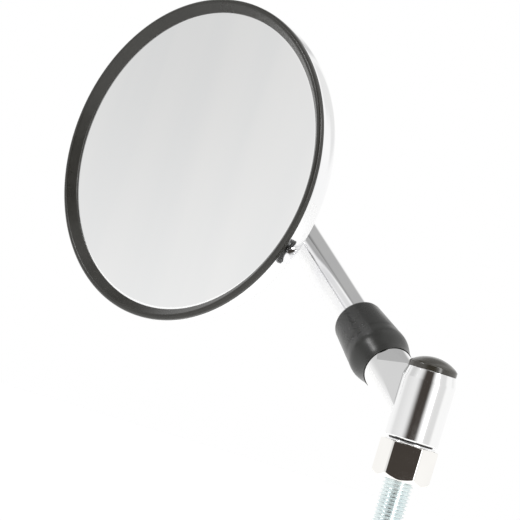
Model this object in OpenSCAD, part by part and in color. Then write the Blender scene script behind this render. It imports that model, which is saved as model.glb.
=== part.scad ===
// Left-hand motorcycle mirror on a swivelling cast knuckle, with its M10 mounting bolt.
// Origin: on the bolt's axis, in the lower face of the hexagon nut. +Z runs up the bolt,
// the mirror glass looks towards -Y and -X, and the arm rises towards -X and +Y.

/* [Bolt and nut] */
// Crest diameter of the bolt's M10 thread, and of its plain shank
bolt_d = 9.9; // [9.5:0.05:10.2]
// Length of thread that stands free below the nut
stud_len = 22; // [12:1:34]
// Width of the nut across its flats
nut_af = 17; // [15:0.5:19]
// Height of the nut
nut_h = 12; // [8:0.5:16]
// Angle of the chamfer round the nut's lower corners
nut_low_angle = 42; // [15:1:50]
// Angle of the slight easing round its upper corners
nut_high_angle = 8; // [4:1:30]
// Angle that the nut came to rest at
nut_turn = -2.7; // [-30:0.1:30]
// Height of the undercut in the bolt where its free thread ends, inside the nut's mouth
relief_h = 1; // [0.6:0.1:1.6]
// Depth of that undercut
relief_depth = 0.3; // [0.2:0.05:0.5]
// Diameter of the bolt's round head, inside the barrel
bolt_head_d = 14; // [13:0.1:15]
// Height of the bolt's head
bolt_head_h = 5; // [4:0.5:7]
// Width across flats of the hexagon socket in the bolt's head
bolt_socket_af = 6; // [5:0.5:8]
// Depth of that socket
bolt_socket_depth = 3; // [2:0.25:3.5]

/* [Washers, springs and bushes of the swivel] */
// Thickness of the bright washer on top of the nut
nut_washer_t = 0.6; // [0.4:0.1:1.5]
// Diameter of that washer
nut_washer_d = 17.2; // [15:0.1:18]
// Thickness of the two bushes' walls
bush_t = 1.2; // [0.8:0.1:1.5]
// Thickness of the lower bush's flange, the dark line under the barrel
lower_flange_t = 0.5; // [0.4:0.1:1.5]
// Diameter of the lower bush's flange
lower_flange_d = 14.8; // [14.2:0.1:17.4]
// Thickness of the upper bush's flange
upper_flange_t = 0.8; // [0.5:0.1:1.5]
// Length of the upper bush below its flange
upper_bush_len = 3.5; // [2:0.5:4]
// Thickness of each disc spring
spring_t = 0.8; // [0.5:0.1:1.2]
// Height that each disc spring's cone rises
spring_rise = 0.5; // [0.3:0.1:0.8]
// Thickness of the washer under the bolt's head
head_washer_t = 1.2; // [0.8:0.1:2]

/* [Knuckle] */
// Height of the barrel
barrel_h = 23.5; // [22.5:0.5:30]
// Wall of the barrel around the bolt's head
barrel_wall = 1.6; // [1.4:0.1:2.5]
// How far the barrel's upper end draws in below the cap
barrel_soft = 0.85; // [0.5:0.05:1.1]
// Height of that cone
barrel_soft_h = 3.3; // [1:0.1:3.5]
// Chamfer on the barrel's lower edge
barrel_chamfer = 0.5; // [0.2:0.1:1]
// Diameter of the arm
arm_d = 16.8; // [15.5:0.1:17.2]
// Length of the arm from the barrel's axis to its end face
arm_len = 31; // [29:0.5:40]
// Angle that the arm rises above the horizontal
arm_rise = 27; // [15:0.5:40]
// Angle that the arm is swept from -X towards +Y
arm_sweep = 53.5; // [30:0.5:75]
// Height of the arm's lowest line above the barrel's lower face
arm_foot = 0.7; // [0.3:0.1:2]
// Depth of the threaded hole in the arm's end
arm_bore_depth = 18; // [14:0.5:18]
// Chamfer on the arm's end
arm_chamfer = 0.8; // [0.4:0.1:1.2]
// Distance of the long flat's plane from the arm's axis, at the barrel's axis
long_flat_r = 5.2; // [4.9:0.1:7.2]
// Angle round the arm that the long flat faces
long_flat_turn = 137.2; // [125:0.1:150]
// Angle by which the long flat leans out towards the arm's end
long_flat_lean = 5.6; // [5:0.1:7]
// Distance of the end flat's plane from the arm's axis, at the arm's end; it closes the
// long flat below the boot
end_flat_r = 8.75; // [8.5:0.05:9.2]
// Angle round the arm that the end flat faces
end_flat_turn = 134.2; // [131:0.1:140]
// Angle by which the end flat leans out towards the arm's end
end_flat_lean = 9.4; // [8.2:0.1:11]

/* [Cap] */
// Height of the cap's straight edge
cap_edge_h = 1.8; // [1:0.1:3]
// Height of the cap's dome above that edge
cap_dome_h = 2.9; // [1.5:0.1:4]
// Length of the plug that holds the cap in the barrel
cap_plug_len = 2.5; // [2:0.1:4]
// Wall of the plug
cap_plug_t = 1.2; // [0.8:0.1:2]

/* [Boot and lock nut] */
// Diameter of the boot where it is widest
boot_d = 20.5; // [20:0.1:24]
// Diameter of the boot above that collar
boot_neck_d = 19.6; // [19:0.1:20]
// Diameter of the boot's top
boot_top_d = 17.1; // [16:0.1:18]
// Length of the boot
boot_len = 28; // [26:0.5:34]
// Length of the arm that the boot covers
boot_overlap = 4.3; // [3:0.1:6]
// Length from the boot's lip to its widest place
boot_round = 8.2; // [5:0.1:9]
// Length over which the collar narrows to the tapered tube
boot_step = 5; // [2:0.1:6]
// Radius of the boot's rounded upper edge
boot_top_r = 2; // [0.8:0.1:2.2]
// Thickness of the boot's top, around the stem
boot_top_t = 3; // [2:0.1:4]
// Thickness of the boot's lip on the arm, measured outwards
boot_lip_t = 0.15; // [0.1:0.05:0.6]
// Width of the lock nut across its flats
lock_nut_af = 14; // [13:0.5:14.5]
// Height of the lock nut
lock_nut_h = 5; // [4:0.5:5.5]
// Thickness of the split washer under the lock nut
lock_washer_t = 1.4; // [1:0.1:2]

/* [Stem] */
// Diameter of the stem
stem_d = 12; // [11:0.1:13]
// Crest diameter of the thread on the stem's lower end
stem_thread_d = 9.9; // [9.5:0.05:10.2]
// Distance from the barrel's axis to the stem's bend, where its two lines would cross
stem_reach = 133.5; // [124:0.5:180]
// Radius of the bend, at the middle of the stem
bend_r = 14; // [13:0.5:15]
// Diameter of the neck next to the ball
neck_d = 8; // [7:0.1:8.4]
// Diameter of the riveted end that holds the ball
spigot_d = 5; // [4:0.1:5.5]

/* [Ball joint] */
// Diameter of the ball
ball_d = 16; // [15.6:0.1:17]
// Depth of the ball's centre behind the mirror's rim
ball_depth = 18.5; // [17.5:0.1:19.5]
// Thickness of the two seats around the ball
seat_t = 1.4; // [1:0.1:1.6]
// Thickness of the socket plate and the clamp plate
plate_t = 1.6; // [1:0.1:1.8]
// Diameter of the socket plate
socket_plate_d = 48; // [46:1:60]
// Diameter of the clamp plate
clamp_plate_d = 46; // [44:1:50]
// Gap that is left between the two plates
plate_gap = 0.6; // [0.3:0.1:1]
// Radius of the circle that the clamp screws stand on
screw_circle_r = 17.5; // [16.5:0.1:18]
// Number of clamp screws
screw_count = 3; // [3:1:6]
// Diameter of the clamp screws' thread
screw_d = 3.9; // [3:0.1:4.2]
// Diameter of the clamp screws' heads
screw_head_d = 7.2; // [6.5:0.1:8]
// Height of the clamp screws' heads
screw_head_h = 2.4; // [2:0.1:3]
// Length of the clamp screws below the head
screw_len = 6.4; // [5.5:0.1:7]
// Thickness of the washers under the clamp screws' heads
screw_washer_t = 0.8; // [0.5:0.1:1.2]

/* [Mirror head] */
// Diameter of the head over its rubber rim
head_d = 114; // [108:1:130]
// Depth of the shell behind the rim
shell_depth = 28; // [27.6:0.1:29]
// Thickness of the shell's sheet metal
shell_t = 1.2; // [0.8:0.1:1.6]
// Radius of the shell's corner
shell_corner_r = 10; // [8:0.5:14]
// Length of the shell's straight wall behind the rim
shell_wall_len = 3.3; // [2.5:0.1:5]
// Radius of the hole in the shell's back for the stem's neck
shell_hole_r = 7.5; // [7.2:0.1:8]
// Distance from the stem's line to the rim's plane, along the head's axis
head_setback = 49; // [48:0.5:58]
// Angle that the glass is turned from -Y towards -X
head_turn = 37.5; // [30:0.5:44]
// Angle that the glass looks upwards
head_tilt = 1.5; // [-6:0.5:8]
// Width of the rubber rim, seen from the front
rim_w = 4.2; // [3.8:0.1:6]
// Height of the rubber rim's crest in front of its plane
rim_h = 1.3; // [0.9:0.1:2.4]
// Radius of that crest
rim_crest_r = 1.1; // [0.7:0.1:1.6]
// Depth of the glass's edge behind the rim's plane
glass_inset = 1.7; // [1:0.1:2.5]
// Thickness of the glass
glass_t = 2; // [1.8:0.1:3]
// Radius of the glass's convex face
glass_curve_r = 1200; // [800:50:3000]
// Width of the glass's edge that the rubber rim covers
glass_cover = 1; // [0.6:0.1:1.6]
// Thickness of the foam pad behind the glass
foam_t = 0.6; // [0.4:0.1:1.2]
// Thickness of the backing plate at its edge
backing_t = 1; // [0.8:0.1:1.6]
// Thickness of the rubber rim's rear lip
rear_lip_t = 1; // [0.8:0.1:1.5]

/* [Hidden] */
$fn = 96;

// Clearances
run_gap = 0.05;       // radial play of a shaft or thread in its hole
face_gap = 0.05;      // gap between flat faces that turn on each other
slip_gap = 0.1;       // play around a piece that is pushed into place
ball_gap = 0.2;       // gap between the ball joint's round faces
head_room = 0.35;     // room around and above the bolt's head
bush_space = 0.9;     // space that stays free between the two bushes
cut = 1;              // how far a cutting shape runs past the face it opens

// Swivel, from the nut's lower face upwards
bolt_r = bolt_d/2;
bush_r = bolt_r + run_gap + bush_t;
washer_top = nut_h + nut_washer_t;
barrel_z = washer_top + face_gap + lower_flange_t;
barrel_top = barrel_z + barrel_h;
counter_r = bolt_head_d/2 + head_room;
barrel_r = counter_r + barrel_wall;
cap_r = barrel_r - barrel_soft;
spring_h = spring_t + spring_rise;
spring_stack = 2*spring_h;
counter_depth = upper_flange_t + face_gap + spring_stack + head_washer_t + bolt_head_h + head_room + cap_plug_len;
counter_z = barrel_top - counter_depth;
lower_bush_len = counter_z - upper_bush_len - bush_space - barrel_z;
spring_z = counter_z + upper_flange_t + face_gap;
head_washer_z = spring_z + spring_stack;
bolt_head_z = head_washer_z + head_washer_t;
bolt_head_top = bolt_head_z + bolt_head_h;

// Arm, boot and lower end of the stem, along the arm's axis from the barrel's axis
arm_r = arm_d/2;
arm_z = barrel_z + arm_foot + arm_r*cos(arm_rise);
thread_bore_r = stem_thread_d/2 + run_gap;
stem_start = arm_len - arm_bore_depth + cut;
lock_washer_s = arm_len + face_gap;
lock_nut_s = lock_washer_s + lock_washer_t;
lock_nut_end = lock_nut_s + lock_nut_h;
thread_end = lock_nut_end + 2;
boot_s = arm_len - boot_overlap;
boot_end = boot_s + boot_len;
boot_lip_r = arm_r + slip_gap;
boot_lip_len = 1.5;
boot_room_r = max(lock_nut_af/sqrt(3), boot_lip_r) + 0.4;

// Directions of the arm and of the glass's normal
arm_dir = [-cos(arm_sweep)*cos(arm_rise), sin(arm_sweep)*cos(arm_rise), sin(arm_rise)];
glass_dir = [-sin(head_turn)*cos(head_tilt), -cos(head_turn)*cos(head_tilt), sin(head_tilt)];
arm_side_x = [-sin(arm_rise)*cos(arm_sweep), sin(arm_rise)*sin(arm_sweep), -cos(arm_rise)];
arm_side_y = [-sin(arm_sweep), -cos(arm_sweep), 0];
bend_angle = acos(arm_dir*glass_dir);
bend_spin = atan2(glass_dir*arm_side_y, glass_dir*arm_side_x);
bend_reach = bend_r*tan(bend_angle/2);
bend_s = stem_reach - bend_reach;
bend_overlap = 0.3;   // degrees that the bend runs into the straight stretches at its ends
bend_inset = 0.01;    // how much thinner the bend is drawn, so that it joins them cleanly
head_centre = [0, 0, arm_z] + stem_reach*arm_dir + head_setback*glass_dir;

// Ball joint, in the head's own frame, where z runs from the stem to the glass
stem_r = stem_d/2;
neck_r = neck_d/2;
ball_r = ball_d/2;
ball_z = -ball_depth;
neck_z = -head_setback + bend_reach;
ball_flat = sqrt(ball_r*ball_r - neck_r*neck_r);
stem_end_h = 0.8;
rivet_h = 1.6;
rivet_r = neck_r - 0.6;
seat_in_r = ball_r + ball_gap;
seat_out_r = seat_in_r + seat_t;
socket_in_r = seat_out_r + ball_gap;
socket_out_r = socket_in_r + plate_t;
rear_opening = 45;
front_opening = 35;
seat_split = 2;
socket_z = ball_z - plate_gap/2;
clamp_z = ball_z + plate_gap/2;
screw_head_z = clamp_z + plate_t + screw_washer_t;

// Shell: a straight wall, a round corner and a shallow dome, each tangent to the next
head_r = head_d/2;
shell_gap = 0.1;
shell_r = head_r - 0.2;
shell_front = -0.7;
corner_x = shell_r - shell_corner_r;
corner_z = shell_front - shell_wall_len;
dome_drop = shell_depth - shell_corner_r;
dome_z = (corner_x*corner_x + corner_z*corner_z - dome_drop*dome_drop)/(2*(corner_z + dome_drop));
dome_r = shell_depth + dome_z;
corner_angle = atan2(dome_z - corner_z, corner_x);

// Glass and what holds it
glass_front = -glass_inset;
glass_r = head_r - rim_w + glass_cover;
glass_back = glass_front - glass_t;
foam_back = glass_back - foam_t;
backing_back = foam_back - backing_t;
foam_r = glass_r - 4;
rim_in_r = head_r - rim_w;
rim_channel_r = glass_r + 0.15;
rim_skirt_r = shell_r - shell_t - slip_gap;
rim_back = backing_back - face_gap - rear_lip_t;

// Points along an arc, from the angle a to the angle b
function arc(x, y, rx, ry, a, b, steps = 12) =
    [for (i = [0:steps]) let (t = a + (b - a)*i/steps) [x + rx*cos(t), y + ry*sin(t)]];

// Points of a soft S-shaped line to the radius r2 at z2, after its start at the radius r1 at z1
function sweep(r1, r2, z1, z2, steps = 10) =
    [for (i = [1:steps]) let (t = i/steps) [r1 + (r2 - r1)*t*t*(3 - 2*t), z1 + (z2 - z1)*t]];

// Height of the glass's curve at the radius r, above the height of its edge
function bulge(r) = sqrt(glass_curve_r*glass_curve_r - r*r) - sqrt(glass_curve_r*glass_curve_r - glass_r*glass_r);

// Points along that curve, from the radius a to the radius b, on an edge at the height z
function curved(a, b, z, steps = 12) = [for (i = [0:steps]) let (r = a + (b - a)*i/steps) [r, z + bulge(r)]];

// Places its children on the arm's axis, with z along the arm from the barrel's axis
module on_arm() {
    translate([0, 0, arm_z])
        rotate([0, 90 - arm_rise, 180 - arm_sweep])
            children();
}

// Places its children in the head's frame, with z along the glass's normal from the rim's plane
module on_head() {
    translate(head_centre)
        rotate([0, 90 - head_tilt, -90 - head_turn])
            children();
}

// A flat ring with its lower face at z
module ring(z, h, outer, inner) {
    translate([0, 0, z])
        difference() {
            cylinder(h = h, r = outer);
            translate([0, 0, -cut])
                cylinder(h = h + 2*cut, r = inner);
        }
}

// A hexagon nut, its ends chamfered at these angles, with a plain bore at the thread's crests
module hexagon(z, af, h, bore_r, low_angle = 30, high_angle = 30) {
    flat_r = af/2;
    corner_r = af/sqrt(3);
    flat_end = flat_r*0.985;
    low_ease = (corner_r - flat_end)*tan(low_angle);
    high_ease = (corner_r - flat_end)*tan(high_angle);
    translate([0, 0, z])
        difference() {
            intersection() {
                cylinder(h = h, r = corner_r, $fn = 6);
                rotate_extrude()
                    polygon([
                        [0, 0], [flat_end, 0], [corner_r, low_ease],
                        [corner_r, h - high_ease], [flat_end, h], [0, h]
                    ]);
            }
            translate([0, 0, -cut])
                cylinder(h = h + 2*cut, r = bore_r);
        }
}

// One disc spring as a plain cone of sheet, its lower edge at z, opening up or down
module disc_spring(z, opens_up) {
    inner = bolt_r + 4*run_gap;
    outer = bolt_head_d/2 - 0.2;
    low = opens_up ? 0 : spring_rise;
    high = opens_up ? spring_rise : 0;
    translate([0, 0, z])
        rotate_extrude()
            polygon([[inner, low], [outer, high], [outer, high + spring_t], [inner, low + spring_t]]);
}

// The part of a ball's skin between two angles, measured from the z axis
module ball_zone(inner, outer, a, b) {
    rotate_extrude()
        polygon(concat(
            [for (i = [0:12]) let (t = a + (b - a)*i/12) [outer*sin(t), outer*cos(t)]],
            [for (i = [12:-1:0]) let (t = a + (b - a)*i/12) [inner*sin(t), inner*cos(t)]]
        ));
}

module mounting_bolt() {
    color([0.82, 0.85, 0.88])
        difference() {
            rotate_extrude()
                polygon([
                    [0, -stud_len], [bolt_r - 1, -stud_len], [bolt_r, 1 - stud_len], [bolt_r, 0],
                    [bolt_r - relief_depth, 0], [bolt_r - relief_depth, relief_h], [bolt_r, relief_h],
                    [bolt_r, bolt_head_z], [bolt_head_d/2, bolt_head_z], [bolt_head_d/2, bolt_head_top],
                    [0, bolt_head_top]
                ]);
            translate([0, 0, bolt_head_top - bolt_socket_depth])
                cylinder(h = bolt_socket_depth + cut, r = bolt_socket_af/sqrt(3), $fn = 6);
        }
}

module hex_nut() {
    color([0.75, 0.75, 0.76])
        rotate([0, 0, nut_turn])
            hexagon(0, nut_af, nut_h, bolt_r + run_gap, nut_low_angle, nut_high_angle);
}

module nut_washer() {
    color([0.78, 0.78, 0.79])
        ring(nut_h, nut_washer_t, nut_washer_d/2, bolt_r + run_gap);
}

module head_washer() {
    color([0.7, 0.72, 0.74])
        ring(head_washer_z, head_washer_t, bolt_head_d/2, bolt_r + run_gap);
}

module upper_disc_spring() {
    color([0.4, 0.41, 0.43])
        disc_spring(spring_z + spring_h, true);
}

module lower_disc_spring() {
    color([0.4, 0.41, 0.43])
        disc_spring(spring_z, false);
}

// What a flat takes off the arm: it faces this way round the arm, leans from its axis and
// passes at this distance from the point s along it
module flat_cut(s, turn, lean, distance) {
    translate([0, 0, s])
        rotate([0, 0, turn])
            rotate([0, lean, 0])
                translate([distance, -2*arm_r, -3*arm_len])
                    cube([2*arm_r, 4*arm_r, 6*arm_len]);
}

module knuckle() {
    color([0.8, 0.8, 0.81])
        difference() {
            union() {
                rotate_extrude()
                    polygon([
                        [0, barrel_z], [barrel_r - barrel_chamfer, barrel_z],
                        [barrel_r, barrel_z + barrel_chamfer],
                        [barrel_r, barrel_top - barrel_soft_h], [cap_r, barrel_top], [0, barrel_top]
                    ]);
                on_arm()
                    difference() {
                        union() {
                            cylinder(h = arm_len - arm_chamfer, r = arm_r);
                            translate([0, 0, arm_len - arm_chamfer])
                                cylinder(h = arm_chamfer, r1 = arm_r, r2 = arm_r - arm_chamfer);
                        }
                        intersection() {
                            flat_cut(0, long_flat_turn, long_flat_lean, long_flat_r);
                            flat_cut(arm_len, end_flat_turn, end_flat_lean, end_flat_r);
                        }
                    }
            }
            translate([0, 0, barrel_z - cut])
                cylinder(h = barrel_h, r = bush_r);
            translate([0, 0, counter_z])
                cylinder(h = counter_depth + cut, r = counter_r);
            on_arm()
                translate([0, 0, arm_len - arm_bore_depth])
                    cylinder(h = arm_bore_depth + cut, r = thread_bore_r);
        }
}

module lower_bush() {
    color([0.12, 0.12, 0.12])
        difference() {
            union() {
                translate([0, 0, barrel_z - lower_flange_t])
                    cylinder(h = lower_flange_t, r = lower_flange_d/2);
                translate([0, 0, barrel_z])
                    cylinder(h = lower_bush_len, r = bush_r);
            }
            translate([0, 0, barrel_z - lower_flange_t - cut])
                cylinder(h = lower_flange_t + lower_bush_len + 2*cut, r = bush_r - bush_t);
        }
}

module upper_bush() {
    color([0.12, 0.12, 0.12])
        difference() {
            union() {
                translate([0, 0, counter_z])
                    cylinder(h = upper_flange_t, r = counter_r - slip_gap);
                translate([0, 0, counter_z - upper_bush_len])
                    cylinder(h = upper_bush_len, r = bush_r);
            }
            translate([0, 0, counter_z - upper_bush_len - cut])
                cylinder(h = upper_flange_t + upper_bush_len + 2*cut, r = bush_r - bush_t);
        }
}

module top_cap() {
    plug_r = counter_r - slip_gap;
    dome_top = barrel_top + cap_edge_h + cap_dome_h;
    dome_curve_r = (cap_r*cap_r + cap_dome_h*cap_dome_h)/(2*cap_dome_h);
    half_angle = asin(cap_r/dome_curve_r);
    color([0.09, 0.09, 0.09])
        rotate_extrude()
            polygon(concat(
                [
                    [0, barrel_top], [plug_r - cap_plug_t, barrel_top],
                    [plug_r - cap_plug_t, barrel_top - cap_plug_len], [plug_r, barrel_top - cap_plug_len],
                    [plug_r, barrel_top], [cap_r, barrel_top]
                ],
                arc(0, dome_top - dome_curve_r, dome_curve_r, dome_curve_r, 90 - half_angle, 90, 16)
            ));
}

module stem() {
    thread_r = stem_thread_d/2;
    spigot_z = ball_z - ball_flat - face_gap;
    rivet_z = ball_z + ball_flat - rivet_h;
    color([0.8, 0.8, 0.81]) {
        on_arm() {
            rotate_extrude()
                polygon([
                    [0, stem_start], [thread_r - 1, stem_start], [thread_r, stem_start + 1],
                    [thread_r, thread_end], [stem_r, thread_end], [stem_r, bend_s], [0, bend_s]
                ]);
            rotate([0, 0, bend_spin])
                translate([bend_r, 0, bend_s])
                    rotate([90, 0, 0])
                        rotate([0, 0, 180 - bend_angle - bend_overlap])
                            rotate_extrude(angle = bend_angle + 2*bend_overlap)
                                translate([bend_r, 0])
                                    circle(r = stem_r - bend_inset);
        }
        on_head()
            rotate_extrude()
                polygon([
                    [0, neck_z], [stem_r, neck_z], [stem_r, neck_z + stem_end_h],
                    [neck_r, neck_z + 2*stem_end_h], [neck_r, spigot_z], [spigot_d/2, spigot_z],
                    [spigot_d/2, rivet_z], [rivet_r, rivet_z + rivet_h], [0, rivet_z + rivet_h]
                ]);
    }
}

module lock_washer() {
    split = 1.2;
    color([0.7, 0.72, 0.74])
        on_arm()
            difference() {
                ring(lock_washer_s, lock_washer_t, arm_r - arm_chamfer, thread_bore_r);
                rotate([0, 0, 40])
                    translate([0, -split/2, lock_washer_s - cut])
                        cube([arm_r + cut, split, lock_washer_t + 2*cut]);
            }
}

module lock_nut() {
    color([0.7, 0.72, 0.74])
        on_arm()
            hexagon(lock_nut_s, lock_nut_af, lock_nut_h, thread_bore_r);
}

module boot() {
    top_r = boot_top_d/2;
    wide_r = boot_d/2;
    tube_r = boot_neck_d/2;
    lip_r = boot_lip_r + boot_lip_t;
    top_in_r = stem_r + run_gap;
    color([0.1, 0.1, 0.1])
        on_arm()
            rotate_extrude()
                polygon(concat(
                    [[boot_lip_r, boot_s], [lip_r, boot_s]],
                    sweep(lip_r, wide_r, boot_s, boot_s + boot_round),
                    sweep(wide_r, tube_r, boot_s + boot_round, boot_s + boot_round + boot_step, 6),
                    arc(top_r - boot_top_r, boot_end - boot_top_r, boot_top_r, boot_top_r, 0, 90, 8),
                    [
                        [top_in_r, boot_end], [top_in_r, boot_end - boot_top_t],
                        [top_in_r + 1, boot_end - boot_top_t], [boot_room_r, lock_nut_end + 0.5],
                        [boot_room_r, arm_len], [boot_lip_r, boot_s + boot_lip_len]
                    ]
                ));
}

module ball() {
    color([0.62, 0.63, 0.65])
        on_head()
            translate([0, 0, ball_z])
                difference() {
                    intersection() {
                        sphere(r = ball_r);
                        translate([0, 0, -ball_flat])
                            cylinder(h = 2*ball_flat, r = ball_r + cut);
                    }
                    translate([0, 0, -ball_r])
                        cylinder(h = 2*ball_r, r = spigot_d/2 + run_gap);
                    translate([0, 0, ball_flat - rivet_h - face_gap])
                        cylinder(h = rivet_h + face_gap, r1 = spigot_d/2 + run_gap, r2 = rivet_r + 2*run_gap);
                }
}

module rear_seat() {
    color([0.85, 0.84, 0.8])
        on_head()
            translate([0, 0, ball_z])
                rotate([180, 0, 0])
                    ball_zone(seat_in_r, seat_out_r, rear_opening, 90 - seat_split);
}

module front_seat() {
    color([0.85, 0.84, 0.8])
        on_head()
            translate([0, 0, ball_z])
                ball_zone(seat_in_r, seat_out_r, front_opening, 90 - seat_split);
}

module shell() {
    corner_in_r = shell_corner_r - shell_t;
    dome_in_r = dome_r - shell_t;
    hole_angle = asin(shell_hole_r/dome_r);
    hole_in_angle = asin(shell_hole_r/dome_in_r);
    color([0.8, 0.8, 0.81])
        on_head()
            rotate_extrude()
                polygon(concat(
                    [[shell_r, shell_front]],
                    arc(corner_x, corner_z, shell_corner_r, shell_corner_r, 0, -corner_angle, 16),
                    arc(0, dome_z, dome_r, dome_r, -corner_angle, hole_angle - 90, 20),
                    arc(0, dome_z, dome_in_r, dome_in_r, hole_in_angle - 90, -corner_angle, 20),
                    arc(corner_x, corner_z, corner_in_r, corner_in_r, -corner_angle, 0, 16),
                    [[shell_r - shell_t, shell_front]]
                ));
}

// Depth of the shell's inner face at the radius r, less the gap that a welded foot keeps
function shell_floor(r) = dome_z - sqrt((dome_r - shell_t)*(dome_r - shell_t) - r*r) + face_gap;

module socket_plate() {
    outer = socket_plate_d/2;
    foot = outer - plate_t;
    color([0.55, 0.56, 0.58])
        on_head()
            difference() {
                union() {
                    translate([0, 0, ball_z])
                        rotate([180, 0, 0])
                            ball_zone(socket_in_r, socket_out_r, rear_opening + 2, 90);
                    rotate_extrude()
                        polygon([
                            [socket_in_r, socket_z], [outer, socket_z], [outer, shell_floor(outer)],
                            [foot, shell_floor(foot)], [foot, socket_z - plate_t], [socket_in_r, socket_z - plate_t]
                        ]);
                }
                translate([0, 0, socket_z])
                    cylinder(h = plate_gap, r = outer + cut);
                at_screws()
                    translate([0, 0, socket_z - plate_t - cut])
                        cylinder(h = plate_t + 2*cut, r = screw_d/2 + run_gap);
            }
}

module clamp_plate() {
    color([0.55, 0.56, 0.58])
        on_head()
            difference() {
                union() {
                    translate([0, 0, ball_z])
                        ball_zone(socket_in_r, socket_out_r, front_opening, 90);
                    ring(clamp_z, plate_t, clamp_plate_d/2, socket_in_r);
                }
                translate([0, 0, ball_z - plate_gap/2])
                    cylinder(h = plate_gap, r = clamp_plate_d/2 + cut);
                at_screws()
                    translate([0, 0, clamp_z - cut])
                        cylinder(h = plate_t + 2*cut, r = screw_d/2 + slip_gap);
            }
}

// Repeats its children at each clamp screw
module at_screws() {
    for (i = [0:screw_count - 1])
        rotate([0, 0, 90 + i*360/screw_count])
            translate([screw_circle_r, 0, 0])
                children();
}

module clamp_screws() {
    recess_w = 1;
    recess_len = 4.4;
    recess_depth = 1.2;
    color([0.7, 0.72, 0.74])
        on_head()
            at_screws()
                difference() {
                    union() {
                        translate([0, 0, screw_head_z - screw_len])
                            cylinder(h = screw_len, r = screw_d/2);
                        translate([0, 0, screw_head_z])
                            cylinder(h = screw_head_h - 0.6, r = screw_head_d/2);
                        translate([0, 0, screw_head_z + screw_head_h - 0.6])
                            cylinder(h = 0.6, r1 = screw_head_d/2, r2 = screw_head_d/2 - 0.8);
                    }
                    for (a = [0, 90])
                        rotate([0, 0, a])
                            translate([-recess_len/2, -recess_w/2, screw_head_z + screw_head_h - recess_depth])
                                cube([recess_len, recess_w, recess_depth + cut]);
                }
}

module screw_washers() {
    color([0.7, 0.72, 0.74])
        on_head()
            at_screws()
                ring(clamp_z + plate_t, screw_washer_t, screw_head_d/2 + 0.4, screw_d/2 + slip_gap);
}

module backing_plate() {
    color([0.15, 0.15, 0.15])
        on_head()
            rotate_extrude()
                polygon(concat([[0, backing_back], [glass_r, backing_back]], curved(glass_r, 0, foam_back)));
}

module foam_pad() {
    color([0.25, 0.25, 0.25])
        on_head()
            rotate_extrude()
                polygon(concat(curved(0, foam_r, foam_back), curved(foam_r, 0, glass_back)));
}

module glass() {
    color([0.75, 0.78, 0.8])
        on_head()
            rotate_extrude()
                polygon(concat(curved(0, glass_r, glass_back), curved(glass_r, 0, glass_front)));
}

module rim() {
    lip_z = glass_front + face_gap;
    lip_t = 0.25;
    skirt_front = shell_front + shell_gap;
    color([0.1, 0.1, 0.1])
        on_head()
            rotate_extrude()
                polygon(concat(
                    [[head_r, skirt_front]],
                    arc(head_r - rim_crest_r, rim_h - rim_crest_r, rim_crest_r, rim_crest_r, 0, 140, 14),
                    [
                        [rim_in_r, lip_z + lip_t], [rim_in_r, lip_z],
                        [rim_channel_r, lip_z], [rim_channel_r, backing_back - face_gap],
                        [rim_in_r - 0.8, backing_back - face_gap], [rim_in_r - 0.8, rim_back],
                        [rim_skirt_r - 0.8, rim_back], [rim_skirt_r, rim_back + 1], [rim_skirt_r, skirt_front]
                    ]
                ));
}

mounting_bolt();
hex_nut();
nut_washer();
head_washer();
upper_disc_spring();
lower_disc_spring();
knuckle();
lower_bush();
upper_bush();
top_cap();
stem();
lock_washer();
lock_nut();
boot();
ball();
rear_seat();
front_seat();
shell();
socket_plate();
clamp_plate();
clamp_screws();
screw_washers();
backing_plate();
foam_pad();
glass();
rim();
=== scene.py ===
import math

import bmesh
import bpy
from mathutils import Matrix, Vector

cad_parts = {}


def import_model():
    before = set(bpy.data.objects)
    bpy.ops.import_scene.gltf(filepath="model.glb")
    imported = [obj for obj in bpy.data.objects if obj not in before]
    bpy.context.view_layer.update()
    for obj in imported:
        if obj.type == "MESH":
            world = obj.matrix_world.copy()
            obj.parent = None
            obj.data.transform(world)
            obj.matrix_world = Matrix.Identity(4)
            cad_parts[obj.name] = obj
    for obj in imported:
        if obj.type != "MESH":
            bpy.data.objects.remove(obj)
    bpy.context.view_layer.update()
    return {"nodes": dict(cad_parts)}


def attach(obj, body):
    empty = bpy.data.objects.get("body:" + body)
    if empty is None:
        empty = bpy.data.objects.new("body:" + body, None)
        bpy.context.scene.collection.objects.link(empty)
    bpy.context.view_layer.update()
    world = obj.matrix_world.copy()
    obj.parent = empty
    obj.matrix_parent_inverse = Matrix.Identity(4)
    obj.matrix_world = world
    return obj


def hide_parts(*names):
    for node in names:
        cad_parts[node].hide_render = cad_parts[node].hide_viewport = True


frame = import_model()

scene = bpy.context.scene
scene.view_settings.view_transform = "Standard"

# Sizes in mm. The origin is on the bolt's axis, in the nut's lower face.
BOLT_R = 4.95
BORE_R = 5.0
NUT_AF = 17.0
NUT_H = 12.0
WASHER_R = 8.6
WASHER_T = 0.6
FLANGE_R = 7.4
FLANGE_T = 0.5
FLANGE_GAP = 0.05
BUSH_R = 6.2
BUSH_LEN = 6.0
BARREL_R = 8.95
BARREL_H = 23.5
CONE_H = 3.3
CONE_INSET = 0.85
COUNTER_R = 7.35
COUNTER_H = 10.4
ARM_R = 8.4
ARM_LEN = 31.0
ARM_FOOT = 0.7
ARM_BORE_DEPTH = 18.0
STEM_R = 6.0
STEM_REACH = 133.5
BEND_R = 14.0
HEAD_R = 57.0
HEAD_SETBACK = 49.0
BALL_DEPTH = 18.5
CAMERA = Vector((0, -1000, 24.48))

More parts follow.
